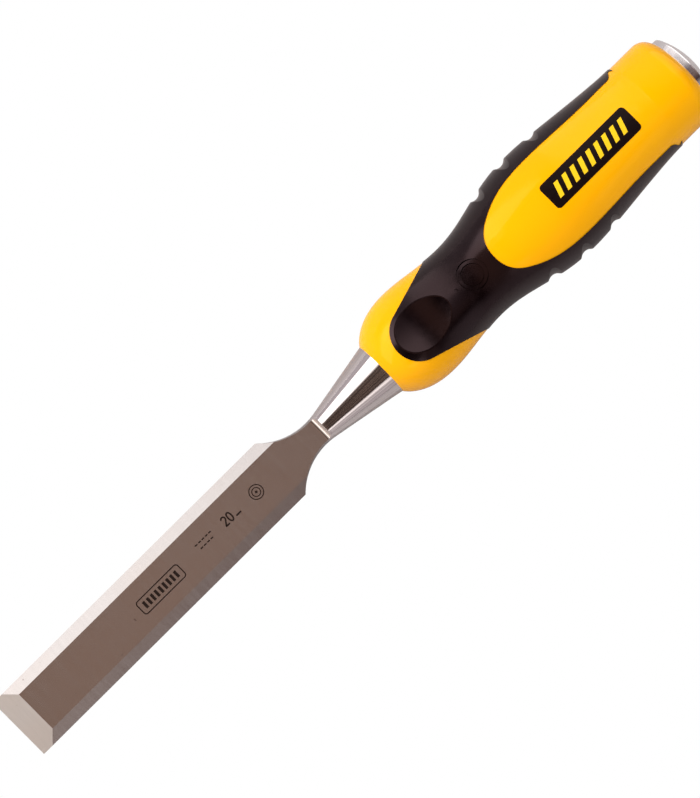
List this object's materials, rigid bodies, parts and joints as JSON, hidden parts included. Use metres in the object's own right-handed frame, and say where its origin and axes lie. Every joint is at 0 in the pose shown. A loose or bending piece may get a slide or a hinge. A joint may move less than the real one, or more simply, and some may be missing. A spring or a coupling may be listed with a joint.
{
  "type": "bench chisel",
  "caption": "Bevel-edge bench chisel: one-piece forged blade, bolster and tang, hard handle core with soft overmoulded grip, and a domed steel strike cap.",
  "frame": {"origin": "middle of the cutting edge, on the flat back of the blade", "axes": "+X along the handle axis towards the strike cap, +Y across the blade, +Z out of the bevelled face"},
  "size_m": [0.2643, 0.0356, 0.0318],
  "materials": {
    "blade_steel": "ground",
    "yellow_plastic": "gloss",
    "black_rubber": "matte",
    "cap_steel": "polished"
  },
  "bodies": {
    "root": {"forged_blade": "blade_steel", "handle_core": "yellow_plastic", "soft_grip": "black_rubber", "strike_cap": "cap_steel"}
  },
  "joints": []
}
